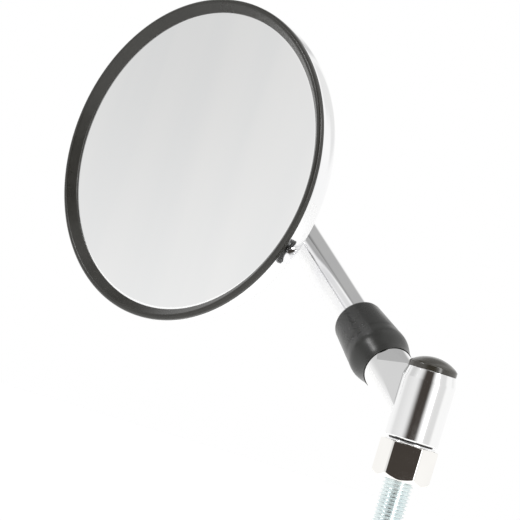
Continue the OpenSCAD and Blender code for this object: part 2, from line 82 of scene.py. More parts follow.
# Heights that follow from them. The barrel stands on the bush's flange, over the washer.
BARREL_Z = NUT_H + WASHER_T + FLANGE_GAP + FLANGE_T
BARREL_TOP = BARREL_Z + BARREL_H
CONE_Z = BARREL_TOP - CONE_H
CONE_SLOPE = CONE_INSET / CONE_H
CAP_R = BARREL_R - CONE_INSET
COUNTER_Z = BARREL_Z + COUNTER_H

# Angles of the arm's line and of the glass, counted from +X and above the ground.
ARM_TURN = math.radians(180 - 53.5)
ARM_RISE = math.radians(27)
GLASS_TURN = math.radians(-90 - 37.5)
GLASS_RISE = math.radians(1.5)


def heading(turn, rise):
    return Vector((math.cos(turn) * math.cos(rise), math.sin(turn) * math.cos(rise), math.sin(rise)))


def laid_along(start, turn, rise):
    """The matrix that puts a piece's origin on a point and lays its z axis along a heading."""
    lean = Matrix.Rotation(math.pi / 2 - rise, 4, "Y")
    return Matrix.Translation(start) @ Matrix.Rotation(turn, 4, "Z") @ lean


ARM_DIR = heading(ARM_TURN, ARM_RISE)
GLASS_DIR = heading(GLASS_TURN, GLASS_RISE)
ARM_START = Vector((0, 0, BARREL_Z + ARM_FOOT + ARM_R * math.cos(ARM_RISE)))
HEAD_CENTRE = ARM_START + STEM_REACH * ARM_DIR + HEAD_SETBACK * GLASS_DIR
UPRIGHT = Matrix.Identity(4)
ON_ARM = laid_along(ARM_START, ARM_TURN, ARM_RISE)
ON_HEAD = laid_along(HEAD_CENTRE, GLASS_TURN, GLASS_RISE)

# Materials. These are the sockets that a Mix node has for colours.
MIX_FACTOR = 0
MIX_A = 6
MIX_B = 7
MIX_RESULT = 2


class Nodes:
    """A node tree that is built line by line. Most calls add a node and give its result."""

    def __init__(self, tree):
        self.tree = tree
        tree.nodes.clear()

    def add(self, kind, **settings):
        node = self.tree.nodes.new(kind)
        for key, value in settings.items():
            setattr(node, key, value)
        return node

    def put(self, socket, value):
        """Links another node's result to the socket, or sets the socket's own value."""
        if isinstance(value, bpy.types.NodeSocket):
            self.tree.links.new(value, socket)
        else:
            socket.default_value = value

    def math(self, operation, *values):
        node = self.add("ShaderNodeMath", operation=operation)
        for socket, value in zip(node.inputs, values):
            self.put(socket, value)
        return node.outputs[0]

    def times(self, a, b):
        return self.math("MULTIPLY", a, b)

    def ramp(self, value, low, high, to_low=0.0, to_high=1.0, kind="SMOOTHSTEP"):
        node = self.add("ShaderNodeMapRange", interpolation_type=kind)
        for socket, number in zip(node.inputs, (value, low, high, to_low, to_high)):
            self.put(socket, number)
        return node.outputs[0]

    def window(self, value, low, high, soft_low, soft_high):
        """1 from low to high and 0 beyond, with a soft change at each end."""
        up = self.ramp(value, low - soft_low, low + soft_low)
        down = self.ramp(value, high - soft_high, high + soft_high, 1.0, 0.0)
        return self.times(up, down)

    def mix(self, factor, a, b):
        node = self.add("ShaderNodeMix", data_type="RGBA")
        self.put(node.inputs[MIX_FACTOR], factor)
        self.put(node.inputs[MIX_A], a)
        self.put(node.inputs[MIX_B], b)
        return node.outputs[MIX_RESULT]

    def noise(self, vector, scale, detail=2.0, roughness=0.5):
        node = self.add("ShaderNodeTexNoise")
        self.put(node.inputs["Vector"], vector)
        self.put(node.inputs["Scale"], scale)
        self.put(node.inputs["Detail"], detail)
        self.put(node.inputs["Roughness"], roughness)
        return node.outputs[0]

    def mapped(self, stretch=(1, 1, 1)):
        """The object's own coordinates, stretched."""
        node = self.add("ShaderNodeMapping")
        self.put(node.inputs["Vector"], self.add("ShaderNodeTexCoord").outputs["Object"])
        self.put(node.inputs["Scale"], stretch)
        return node.outputs[0]

    def bump(self, shader, height, strength, distance):
        node = self.add("ShaderNodeBump")
        self.put(node.inputs["Strength"], strength)
        self.put(node.inputs["Distance"], distance)
        self.put(node.inputs["Height"], height)
        self.put(shader.inputs["Normal"], node.outputs[0])


def material(name, build):
    mat = bpy.data.materials.new(name)
    mat.use_nodes = True
    nodes = Nodes(mat.node_tree)
    out = nodes.add("ShaderNodeOutputMaterial")
    shader = nodes.add("ShaderNodeBsdfPrincipled")
    nodes.put(out.inputs["Surface"], shader.outputs[0])
    build(nodes, shader)
    return mat


def metal(name, color, dark, rough, spread, scale, bump=0.0, stretch=(1, 1, 1)):
    """Plated or bare metal: a faint drift of colour and gloss, and a very shallow unevenness."""
    gloss_scale = 9 * scale
    bump_scale = 2.2 * scale
    bump_height = 0.0002

    def build(nodes, shader):
        where = nodes.mapped(stretch)
        drift = nodes.noise(where, scale, detail=3.0)
        tint = nodes.mix(nodes.ramp(drift, 0.35, 0.7), dark + (1,), color + (1,))
        gloss = nodes.ramp(nodes.noise(where, gloss_scale), 0.3, 0.75, rough, rough + spread)
        nodes.put(shader.inputs["Base Color"], tint)
        nodes.put(shader.inputs["Metallic"], 1.0)
        nodes.put(shader.inputs["Roughness"], gloss)
        if bump:
            nodes.bump(shader, nodes.noise(where, bump_scale), bump, bump_height)

    return material(name, build)


def moulding(name, color, light, rough, spread, scale, bump, specular=0.5, grain=900):
    """Rubber or plastic: a soft drift of tone and gloss, and a fine grain."""
    bump_height = 0.0001

    def build(nodes, shader):
        where = nodes.mapped()
        drift = nodes.noise(where, scale, 4.0, 0.6)
        tint = nodes.mix(nodes.ramp(drift, 0.3, 0.75), color + (1,), light + (1,))
        nodes.put(shader.inputs["Base Color"], tint)
        nodes.put(shader.inputs["Roughness"], nodes.ramp(drift, 0.3, 0.7, rough, rough + spread))
        nodes.put(shader.inputs["Specular IOR Level"], specular)
        nodes.bump(shader, nodes.noise(where, grain, 3.0, 0.6), bump, bump_height)

    return material(name, build)


def coated_mirror(name):
    """The mirror glass: a coated metal with faint upright streaks."""

    def build(nodes, shader):
        where = nodes.mapped((1, 1, 0.08))
        drift = nodes.ramp(nodes.noise(where, 55), 0.3, 0.7)
        gloss = nodes.ramp(nodes.noise(where, 180, 3.0), 0.35, 0.7, 0.012, 0.03)
        tint = nodes.mix(drift, (0.97, 0.975, 0.98, 1), (1.0, 1.0, 1.0, 1))
        nodes.put(shader.inputs["Base Color"], tint)
        nodes.put(shader.inputs["Metallic"], 1.0)
        nodes.put(shader.inputs["Roughness"], gloss)
        nodes.put(shader.inputs["Coat Weight"], 0.25)
        nodes.put(shader.inputs["Coat Roughness"], 0.02)

    return material(name, build)


def paper(name, glow):
    """The floor: a matt white that glows a little for the camera and in mirrors."""

    def build(nodes, shader):
        drift = nodes.ramp(nodes.noise(nodes.mapped(), 1.5, 3.0), 0.3, 0.7)
        tint = nodes.mix(drift, (0.93, 0.93, 0.925, 1), (0.95, 0.95, 0.945, 1))
        path = nodes.add("ShaderNodeLightPath")
        seen = nodes.math("MAXIMUM", path.outputs["Is Camera Ray"], path.outputs["Is Glossy Ray"])
        nodes.put(shader.inputs["Base Color"], tint)
        nodes.put(shader.inputs["Roughness"], 0.9)
        nodes.put(shader.inputs["Specular IOR Level"], 0.1)
        nodes.put(shader.inputs["Emission Color"], (1, 1, 1, 1))
        nodes.put(shader.inputs["Emission Strength"], nodes.times(seen, glow))

    return material(name, build)


CHROME = metal("chrome", (0.93, 0.93, 0.93), (0.9, 0.9, 0.91), rough=0.03, spread=0.03, scale=60)
CAST_CHROME = metal("cast_chrome", (0.92, 0.92, 0.92), (0.89, 0.89, 0.895), rough=0.035, spread=0.04,
                    scale=40, bump=0.03, stretch=(1, 1, 0.12))
NUT_CHROME = metal("nut_chrome", (0.93, 0.915, 0.89), (0.90, 0.885, 0.86), rough=0.015, spread=0.02,
                   scale=50)
ZINC = metal("zinc", (0.83, 0.885, 0.885), (0.76, 0.83, 0.84), rough=0.12, spread=0.12,
             scale=120, bump=0.1)
SPRING = metal("spring_steel", (0.3, 0.3, 0.31), (0.2, 0.2, 0.21), rough=0.3, spread=0.15,
               scale=100, bump=0.1)
PLATE = metal("plate_steel", (0.52, 0.53, 0.55), (0.42, 0.43, 0.45), rough=0.28, spread=0.16,
              scale=70, bump=0.1)
BALL = metal("ball_steel", (0.62, 0.62, 0.63), (0.55, 0.55, 0.56), rough=0.12, spread=0.1,
             scale=80, bump=0.05)
BOOT_RUBBER = moulding("boot_rubber", (0.006, 0.0062, 0.005), (0.009, 0.0093, 0.0075), rough=0.24,
                       spread=0.09, scale=45, bump=0.13, specular=0.58)
RIM_RUBBER = moulding("rim_rubber", (0.020, 0.019, 0.016), (0.030, 0.029, 0.025), rough=0.26,
                      spread=0.09, scale=50, bump=0.12)
CAP_PLASTIC = moulding("cap_plastic", (0.026, 0.023, 0.017), (0.040, 0.036, 0.027), rough=0.1,
                       spread=0.1, scale=60, bump=0.06, specular=0.8)
BUSH_PLASTIC = moulding("bush_plastic", (0.030, 0.028, 0.026), (0.040, 0.038, 0.035), rough=0.4,
                        spread=0.1, scale=60, bump=0.1)
SEAT_PLASTIC = moulding("seat_plastic", (0.70, 0.69, 0.64), (0.78, 0.77, 0.72), rough=0.45,
                        spread=0.1, scale=60, bump=0.1)
FOAM = moulding("foam", (0.05, 0.05, 0.05), (0.09, 0.09, 0.09), rough=0.85, spread=0.1,
                scale=200, bump=0.6, specular=0.2, grain=2500)
GLASS = coated_mirror("mirror_glass")
FLOOR_PAPER = paper("floor_paper", glow=0.262)

# Meshes. They are built in mm, and finish_mesh scales them to metres.
TO_METRES = Matrix.Scale(0.001, 4)
WELD = 1e-4
NO_LENGTH = 1e-5


def clean(bm):
    bmesh.ops.remove_doubles(bm, verts=bm.verts, dist=WELD)
    bmesh.ops.dissolve_degenerate(bm, dist=NO_LENGTH, edges=bm.edges)


def add_object(name, bm, place):
    me = bpy.data.meshes.new(name)
    bm.to_mesh(me)
    bm.free()
    me.transform(place)
    ob = bpy.data.objects.new(name, me)
    scene.collection.objects.link(ob)
    return ob


def finish_mesh(name, bm, mat, body, replaces, place=UPRIGHT, sharp=35):
    """Makes a piece of the mirror: smooth but for edges that are sharper than an angle."""
    clean(bm)
    bmesh.ops.recalc_face_normals(bm, faces=bm.faces)
    ob = add_object(name, bm, TO_METRES @ place)
    ob.data.shade_smooth()
    ob.data.set_sharp_from_angle(angle=math.radians(sharp))
    ob.data.materials.append(mat)
    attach(ob, body)
    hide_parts(*replaces)
    return ob


def skin(bm, lower, upper):
    """Faces between two rings of as many points."""
    for i in range(len(lower)):
        j = (i + 1) % len(lower)
        bm.faces.new((lower[i], lower[j], upper[j], upper[i]))


def rings_to_mesh(rings, closed=False):
    """A skin over a row of rings. A closed one also joins the last ring to the first."""
    bm = bmesh.new()
    rows = [[bm.verts.new(point) for point in ring] for ring in rings]
    for lower, upper in zip(rows, rows[1:]):
        skin(bm, lower, upper)
    if closed:
        skin(bm, rows[-1], rows[0])
    return bm


def lathe(profile, segments=192, closed=True):
    """A profile of radii and heights, turned about the z axis."""
    turns = [2 * math.pi * i / segments for i in range(segments)]
    rings = [[(r * math.cos(t), r * math.sin(t), z) for t in turns] for r, z in profile]
    return rings_to_mesh(rings, closed)


def arc(x, y, radius, first, last, steps):
    """Points on an arc about (x, y), from one angle to another in degrees."""
    turns = [math.radians(first + (last - first) * i / steps) for i in range(steps + 1)]
    return [(x + radius * math.cos(t), y + radius * math.sin(t)) for t in turns]


def rounded(points, steps=6):
    """A closed profile with rounded corners. A point's third number is its corner's radius."""
    out = []
    for i, (x, y, radius) in enumerate(points):
        if radius <= 0:
            out.append((x, y))
            continue
        corner = Vector((x, y))
        to_last = (Vector(points[i - 1][:2]) - corner).normalized()
        to_next = (Vector(points[(i + 1) % len(points)][:2]) - corner).normalized()
        half = to_last.angle(to_next) / 2
        centre = corner + (to_last + to_next).normalized() * (radius / math.sin(half))
        start = corner + to_last * (radius / math.tan(half)) - centre
        end = corner + to_next * (radius / math.tan(half)) - centre
        turn = start.angle(end)
        for k in range(steps + 1):
            t = k / steps
            spoke = (start * math.sin((1 - t) * turn) + end * math.sin(t * turn)) / math.sin(turn)
            out.append(tuple(centre + spoke))
    return out


def eased(r1, r2, z1, z2, steps):
    """Points from one radius and height to another, without the first, that start and end level."""
    shares = [i / steps for i in range(1, steps + 1)]
    return [(r1 + (r2 - r1) * t * t * (3 - 2 * t), z1 + (z2 - z1) * t) for t in shares]


# The bolt, with a real thread.
def thread_turn(crest, root):
    """One turn of the thread, as shares of the pitch with their radii. The root is rounded."""
    middle = 0.53
    flank = [(0.42, crest), (0.37, crest - 0.03), (0.11, root + 0.07), (0.06, root + 0.01)]
    down = [(middle - share, r) for share, r in flank]
    up = [(middle + share, r) for share, r in reversed(flank)]
    return [(0.0, crest)] + down + [(middle, root)] + up


def threaded_rod(pitch, root, low, high, tip_r, shank_r):
    """A rod whose thread is a helix. It has a chamfer at its lower end, and both ends are open."""
    segments = 96
    profile = thread_turn(BOLT_R, root)
    turns = range(math.floor(low / pitch) - 2, math.ceil(high / pitch) + 1)
    bm = bmesh.new()
    columns = []
    for j in range(segments):
        t = 2 * math.pi * j / segments
        column = []
        for turn in turns:
            for share, r in profile:
                z = min(max((turn + share + j / segments) * pitch, low), high)
                r = shank_r if z >= high else min(r, tip_r + z - low)
                column.append(bm.verts.new((r * math.cos(t), r * math.sin(t), z)))
        columns.append(column)
    for j in range(segments):
        here = columns[j]
        there = columns[(j + 1) % segments]
        # past the last column, the thread goes on one turn further up the first one
        step = len(profile) if j + 1 == segments else 0
        for i in range(len(here) - 1 - step):
            bm.faces.new((here[i], there[i + step], there[i + 1 + step], here[i + 1]))
    clean(bm)
    return bm


def angle_of(vert):
    return math.atan2(vert.co.y, vert.co.x)


def ring_at(bm, z):
    return sorted((v for v in bm.verts if abs(v.co.z - z) < NO_LENGTH), key=angle_of)


def threaded_bolt():
    low, high = -22.0, 12.5
    shank_r = 4.85
    head_z, head_h, head_r = 28.8, 5.0, 7.0
    socket_corner, socket_depth, socket_edge = 3.46, 3.0, 3.9
    head_top = head_z + head_h
    bm = threaded_rod(pitch=1.25, root=4.19, low=low, high=high, tip_r=3.95, shank_r=shank_r)
    end = ring_at(bm, low)
    centre = bm.verts.new((0, 0, low))
    for a, b in zip(end, end[1:] + end[:1]):
        bm.faces.new((centre, a, b))
    ring = ring_at(bm, high)
    angles = [angle_of(v) for v in ring]
    outline = [
        (shank_r, head_z - 0.2), (shank_r + 0.25, head_z), (head_r - 0.3, head_z), (head_r, head_z + 0.3),
        (head_r, head_top - 0.5), (head_r - 0.5, head_top), (socket_edge, head_top),
    ]
    sixth = math.pi / 3
    sectors = [(t + sixth / 2) % sixth - sixth / 2 for t in angles]
    socket = [socket_corner * math.cos(sixth / 2) / math.cos(s) for s in sectors]
    rows = [([r] * len(angles), z) for r, z in outline]
    rows += [(socket, head_top), (socket, head_top - socket_depth)]
    for radii, z in rows:
        upper = [bm.verts.new((r * math.cos(t), r * math.sin(t), z)) for r, t in zip(radii, angles)]
        skin(bm, ring, upper)
        ring = upper
    bm.faces.new(ring)
    finish_mesh("threaded_bolt", bm, ZINC, "base", ("mounting_bolt",), sharp=24)


threaded_bolt()


# The nut, the washer on it and the bush in the barrel.
def nut_outline(corner, corner_steps=8, side_steps=16):
    """The nut seen from above: a hexagon whose corners are rounded to a radius."""
    sixth = math.pi / 3
    inner = (NUT_AF / 2 - corner) / math.cos(sixth / 2)
    centres = [Vector((inner * math.cos(sixth * k), inner * math.sin(sixth * k))) for k in range(7)]
    points = []
    for k in range(6):
        for i in range(corner_steps + 1):
            t = sixth * (k - 0.5 + i / corner_steps)
            points.append(centres[k] + corner * Vector((math.cos(t), math.sin(t))))
        start = points[-1]
        end = start + centres[k + 1] - centres[k]
        points += [start.lerp(end, i / side_steps) for i in range(1, side_steps)]
    return points


def nut_face(outline, angle):
    """Rings from the bore over a face of the nut, at z = 0, and over its chamfer to its sides."""
    mouth = 0.45
    soft = 0.16
    ease = 0.3
    face_r = NUT_AF / 2 * 0.985
    slope = math.tan(math.radians(angle))

    def scaled(p, radius, z):
        return (p.x / p.length * radius, p.y / p.length * radius, z)

    flat_rings = ((BORE_R, mouth), (BORE_R + mouth, 0.0), (face_r, 0.0))
    rows = [[scaled(p, radius, z) for p in outline] for radius, z in flat_rings]
    for inset, drop in ((soft, 0.0), (soft * 0.45, 0.06), (soft * 0.12, 0.12), (0.0, soft + 0.05)):
        row = []
        for p in outline:
            radius = max(p.length - inset, face_r)
            z = (radius - face_r) * slope + drop * min(1.0, (p.length - face_r) / ease)
            row.append(scaled(p, radius, z))
        rows.append(row)
    rows += [[(x, y, z + lift) for x, y, z in row] for lift in (0.08, 0.3)]
    return rows


def hexagon_nut():
    outline = nut_outline(corner=1.0)
    lower = nut_face(outline, angle=42)
    upper = [[(x, y, NUT_H - z) for x, y, z in row] for row in reversed(nut_face(outline, angle=8))]
    turned = Matrix.Rotation(math.radians(-2.7), 4, "Z")
    bm = rings_to_mesh(lower + upper, closed=True)
    finish_mesh("flange_nut", bm, NUT_CHROME, "base", ("hex_nut",), turned, sharp=20)


def washer():
    low, top = NUT_H, NUT_H + WASHER_T
    bm = lathe(rounded([(BORE_R, low, 0), (WASHER_R, low, 0.18), (WASHER_R, top, 0.22), (BORE_R, top, 0)]))
    finish_mesh("bright_washer", bm, CHROME, "base", ("nut_washer",))


def bush():
    low, top = BARREL_Z - FLANGE_T, BARREL_Z + BUSH_LEN
    bm = lathe(rounded([
        (BORE_R, low, 0), (FLANGE_R, low, 0.15), (FLANGE_R, BARREL_Z, 0),
        (BUSH_R, BARREL_Z, 0), (BUSH_R, top, 0), (BORE_R, top, 0),
    ]))
    finish_mesh("bush_with_flange", bm, BUSH_PLASTIC, "knuckle_body", ("lower_bush",))


hexagon_nut()
washer()
bush()


# The knuckle: barrel and arm in one, cut by exact Booleans.
def tool(name, bm, place):
    bmesh.ops.recalc_face_normals(bm, faces=bm.faces)
    return add_object(name, bm, place)


def solid(name, profile, segments, place=UPRIGHT):
    bm = lathe(profile, segments, closed=False)
    bm.verts.ensure_lookup_table()
    bm.faces.new(bm.verts[:segments])
    bm.faces.new(bm.verts[-segments:])
    return tool(name, bm, place)


def keep_beyond(bm, start, turn, lean, distance):
    """Keeps what is beyond a plane. Its distance from the arm's axis is measured at the start."""
    face = heading(math.radians(turn), -math.radians(lean))
    point = Vector((0, 0, start)) + distance * face
    parts = list(bm.verts) + list(bm.edges) + list(bm.faces)
    cut = bmesh.ops.bisect_plane(
        bm, geom=parts, dist=NO_LENGTH, plane_co=point, plane_no=face, clear_inner=True)
    edges = [item for item in cut["geom_cut"] if isinstance(item, bmesh.types.BMEdge)]
    bmesh.ops.contextual_create(bm, geom=edges)


def flats():
    """What the long flat and the end flat take off the arm: all that is beyond both planes."""
    bm = bmesh.new()
    bmesh.ops.create_cube(bm, size=160)
    keep_beyond(bm, start=0.0, turn=137.2, lean=5.6, distance=5.2)
    keep_beyond(bm, start=ARM_LEN, turn=134.2, lean=9.4, distance=8.75)
    return bm


def barrel_profile():
    soft_edge = ((0.5, 0.0), (0.24, 0.07), (0.07, 0.24), (0.0, 0.5))
    extra_ring = 6.0
    top_edge = 0.1
    profile = [(BARREL_R - inset, BARREL_Z + lift) for inset, lift in soft_edge]
    profile += [(BARREL_R, BARREL_Z + extra_ring), (BARREL_R, CONE_Z)]
    profile += [(BARREL_R - CONE_SLOPE * (CONE_H - top_edge), BARREL_TOP - top_edge)]
    return profile + [(CAP_R - 0.06, BARREL_TOP)]


def arm_profile():
    chamfer = 0.8
    end = ARM_LEN - chamfer
    return [(ARM_R, end * share) for share in (0.0, 0.35, 0.7, 1.0)] + [(ARM_R - chamfer, ARM_LEN)]


def boolean(ob, operation, other):
    mod = ob.modifiers.new(operation.lower(), "BOOLEAN")
    mod.operation = operation
    mod.object = other
    mod.solver = "EXACT"


def knuckle_mesh():
    past = 1.0
    bore = [(BUSH_R, BARREL_Z - past), (BUSH_R, COUNTER_Z + past / 2)]
    counterbore = [(COUNTER_R, COUNTER_Z), (COUNTER_R, BARREL_TOP + past)]
    arm_bore = [(BORE_R, ARM_LEN - ARM_BORE_DEPTH), (BORE_R, ARM_LEN + past)]
    barrel = solid("barrel", barrel_profile(), 256)
    arm = solid("arm", arm_profile(), 240, ON_ARM)
    off_arm = tool("flats", flats(), ON_ARM)
    bores = [
        solid("bore", bore, 128), solid("counterbore", counterbore, 128),
        solid("arm_bore", arm_bore, 96, ON_ARM),
    ]
    boolean(arm, "DIFFERENCE", off_arm)
    boolean(barrel, "UNION", arm)
    for item in bores:
        boolean(barrel, "DIFFERENCE", item)
    bpy.context.view_layer.update()
    graph = bpy.context.evaluated_depsgraph_get()
    bm = bmesh.new()
    bm.from_mesh(bpy.data.meshes.new_from_object(barrel.evaluated_get(graph)))
    for ob in [barrel, arm, off_arm] + bores:
        bpy.data.objects.remove(ob)
    return bm


def barrel_normal(p):
    return Vector((p.x, p.y, 0)).normalized()


def cone_normal(p):
    return (barrel_normal(p) + Vector((0, 0, CONE_SLOPE))).normalized()


def arm_normal(p):
    out = p - ARM_START
    return (out - out.dot(ARM_DIR) * ARM_DIR).normalized()


def round_face(corners, centre):
    """Which round surface a face lies on, told by the function of its true normals, or None."""

    def past_barrel(p):
        return math.hypot(p.x, p.y) - BARREL_R

    def near_cone(p):
        return abs(past_barrel(p) + CONE_SLOPE * (p.z - CONE_Z)) < 0.03 and p.z > CONE_Z - 0.05

    def near_barrel(p):
        return abs(past_barrel(p)) < 0.02 and p.z < CONE_Z + 0.05

    def near_arm(p):
        return abs((p - ARM_START).cross(ARM_DIR).length - ARM_R) < 0.02

    if all(near_cone(p) for p in corners):
        return cone_normal
    if all(near_barrel(p) for p in corners):
        return barrel_normal
    if all(near_arm(p) for p in corners + [centre]):
        return arm_normal
    return None


def true_normals(me):
    """Lets the long faces of the knuckle reflect as the round or flat surface that they lie on."""
    large = 2e-6
    millimetres = 1000
    normals = [Vector(item.vector) for item in me.corner_normals]
    for poly in me.polygons:
        corners = [me.vertices[i].co * millimetres for i in poly.vertices]
        round_normal = round_face(corners, poly.center * millimetres)
        if round_normal is None and len(corners) <= 4 and poly.area <= large:
            continue
        for i, p in zip(poly.loop_indices, corners):
            normal = round_normal(p) if round_normal else poly.normal
            if normal.dot(poly.normal) > 0.9:
                normals[i] = normal
    me.normals_split_custom_set([tuple(n) for n in normals])


def knuckle():
    bm = knuckle_mesh()
    ob = finish_mesh("cast_knuckle", bm, CAST_CHROME, "knuckle_body", ("knuckle",), sharp=25)
    true_normals(ob.data)


knuckle()


# The cap on the barrel and the boot on the arm.
def cap():
    edge, dome, soft = 1.8, 2.9, 0.35
    plug_in, plug_out, plug_len = 5.9, 7.2, 2.4
    side = CAP_R - 0.02
    seat = BARREL_TOP + 0.01
    plug_z = BARREL_TOP - plug_len
    edge_z = BARREL_TOP + edge
    curve = (CAP_R ** 2 + dome ** 2) / (2 * dome)
    half = math.degrees(math.asin(CAP_R / curve))
    dome_points = arc(0, edge_z + dome - curve, curve, 90 - half * 0.955, 90, 26)
    profile = [(0.0, BARREL_TOP), (plug_in, BARREL_TOP), (plug_in, plug_z), (plug_out, plug_z)]
    profile += [(plug_out, seat), (side - 0.16, seat), (side, seat + 0.16)]
    profile += [(side, edge_z - soft), (side - 0.03, edge_z - soft * 0.45), (side - 0.12, edge_z - 0.02)]
    profile += [(dome_points[0][0] - 0.12, dome_points[0][1])] + dome_points[1:]
    bm = lathe(profile, closed=False)
    finish_mesh("domed_cap", bm, CAP_PLASTIC, "knuckle_body", ("top_cap",))


def boot():
    start, length, edge = 26.7, 28.0, 2.0
    lip, wide, tube, top = 8.65, 10.25, 9.8, 8.55
    belly, step = 8.2, 5.0
    lip_in, stem_hole, nut_room, roof = 8.5, 6.12, 8.85, 3.0
    end = start + length
    widest = start + belly
    low, high = widest + step, end - edge
    profile = [(lip_in, start + 0.1), (lip_in + 0.05, start + 0.02), (lip - 0.04, start + 0.02)]
    profile += eased(lip, wide, start, widest, 24)
    profile += eased(wide, tube, widest, low, 20)
    profile += [(tube + (top - tube) * i / 12, low + (high - low) * i / 12) for i in range(1, 12)]
    profile += arc(top - edge, high, edge, 0, 90, 16)
    profile += [(6.35, end - 0.02), (stem_hole, end - 0.25), (stem_hole, end - roof), (7.1, end - roof)]
    profile += [(nut_room, start + 11.2), (nut_room, start + 4.3), (lip_in, start + 1.5)]
    bm = lathe(profile)
    finish_mesh("rubber_boot", bm, BOOT_RUBBER, "stem_body", ("boot",), ON_ARM, sharp=40)


cap()
boot()


# The stem, along its path from the arm through the bend to the ball.
def straight(start, direction, items):
    return [(start + distance * direction, direction, radius) for distance, radius in items]


def bend(start, direction, side, angle, steps=24):
    centre = start + BEND_R * side
    path = []
    for i in range(steps + 1):
        a = angle * i / steps
        point = centre - BEND_R * math.cos(a) * side + BEND_R * math.sin(a) * direction
        path.append((point, math.cos(a) * direction + math.sin(a) * side, STEM_R))
    return path


def stem():
    segments = 128
    thread_r, neck_r, rivet_r, rivet_head = 4.95, 4.0, 2.5, 3.4
    ball_r, ball_flat_r = 8.0, 4.0
    angle = ARM_DIR.angle(GLASS_DIR)
    reach = BEND_R * math.tan(angle / 2)
    side = (GLASS_DIR - GLASS_DIR.dot(ARM_DIR) * ARM_DIR).normalized()
    up = ARM_DIR.cross(side)
    turn_off = STEM_REACH - reach
    turned = reach - HEAD_SETBACK
    face = math.sqrt(ball_r ** 2 - ball_flat_r ** 2)
    path = straight(ARM_START, ARM_DIR, [
        (14, 0), (14, thread_r - 1), (15, thread_r), (39.5, thread_r), (39.5, 5.6), (39.9, STEM_R),
        (60, STEM_R), (80, STEM_R), (100, STEM_R), (turn_off - 1, STEM_R)])
    path += bend(ARM_START + turn_off * ARM_DIR, ARM_DIR, side, angle)
    path += straight(HEAD_CENTRE, GLASS_DIR, [
        (turned + 0.8, STEM_R), (turned + 1.1, 5.8), (turned + 1.6, neck_r + 0.2), (turned + 1.9, neck_r),
        (-BALL_DEPTH - face - 0.05, neck_r), (-BALL_DEPTH - face - 0.05, rivet_r),
        (-BALL_DEPTH + face - 1.6, rivet_r), (-BALL_DEPTH + face, rivet_head), (-BALL_DEPTH + face, 0)])
    turns = [2 * math.pi * i / segments for i in range(segments)]
    rings = []
    for point, direction, r in path:
        out = up.cross(direction).normalized()
        rings.append([tuple(point + r * (math.cos(t) * out + math.sin(t) * up)) for t in turns])
    finish_mesh("bent_stem", rings_to_mesh(rings), CHROME, "stem_body", ("stem",), sharp=30)


stem()


# The mirror head: shell, rim and glass. Their z axis points out of the glass, from the rim's plane.
def shell():
    radius, front, corner, depth, sheet, wall = 56.8, -0.7, 10.0, 28.0, 1.2, 3.3
    hole, burr, burr_angle = 8.1, 0.1, 0.4
    corner_x, corner_z = radius - corner, front - wall
    drop = depth - corner
    dome_z = (corner_x ** 2 + corner_z ** 2 - drop ** 2) / (2 * (corner_z + drop))
    dome_r = depth + dome_z
    inner_r = dome_r - sheet
    angle = math.degrees(math.atan2(dome_z - corner_z, corner_x))
    hole_angle = math.degrees(math.asin(hole / dome_r))
    inner_hole_angle = math.degrees(math.asin(hole / inner_r))

    def back(r):
        return dome_z - math.sqrt(dome_r ** 2 - r ** 2)

    profile = [(radius - 0.25, front), (radius - 0.07, front - 0.07), (radius, front - 0.25)]
    profile += [(radius, front - 1.6)]
    profile += arc(corner_x, corner_z, corner, 0, -angle, 40)
    profile += arc(0, dome_z, dome_r, -angle, hole_angle - 90 - burr_angle, 40)
    profile += [(hole + burr, back(hole + burr) + 0.15), (hole, back(hole) + 0.5)]
    profile += arc(0, dome_z, inner_r, inner_hole_angle - 90, -angle, 24)
    profile += arc(corner_x, corner_z, corner - sheet, -angle, 0, 16)
    profile += [(radius - sheet, front)]
    bm = lathe(profile, 320)
    finish_mesh("pressed_shell", bm, CHROME, "head_body", ("shell",), ON_HEAD, sharp=30)


def rim():
    crest, height, skirt = 1.1, 1.3, -0.6
    inner, lip_z = HEAD_R - 4.2, -1.65
    glass_r, glass_z = 53.95, -5.35
    foot_in, foot_out, foot_z, shell_r = 52.0, 54.6, -6.35, 55.45
    profile = [(HEAD_R, skirt)]
    profile += arc(HEAD_R - crest, height - crest, crest, 0, 140, 24)
    x, z = profile[-1]
    for t in (0.1, 0.35, 0.65, 0.9, 1.0):
        profile.append((x + (inner + 0.05 - x) * t, z + (lip_z + 0.25 - z) * t))
    profile += [(inner, lip_z + 0.12), (inner, lip_z), (glass_r, lip_z), (glass_r, glass_z)]
    profile += [(foot_in, glass_z), (foot_in, foot_z), (foot_out, foot_z)]
    profile += [(shell_r, glass_z), (shell_r, skirt)]
    bm = lathe(profile, 320)
    finish_mesh("rubber_rim", bm, RIM_RUBBER, "head_body", ("rim",), ON_HEAD, sharp=40)


def glass():
    front, thick, radius, curve, edge = -1.7, 2.0, 53.8, 1200.0, 0.4

    def bulged(r, z):
        return (r, z + math.sqrt(curve ** 2 - r ** 2) - math.sqrt(curve ** 2 - radius ** 2))

    profile = [bulged(radius * (1 - i / 30), front - thick) for i in range(30, -1, -1)]
    profile += [(radius, front - edge), (radius - 0.12, front - 0.12)]
    profile += [bulged((radius - edge) * (1 - i / 40), front) for i in range(41)]
    bm = lathe(profile, 256, closed=False)
    finish_mesh("convex_glass", bm, GLASS, "head_body", ("glass",), ON_HEAD, sharp=30)


shell()
rim()
glass()


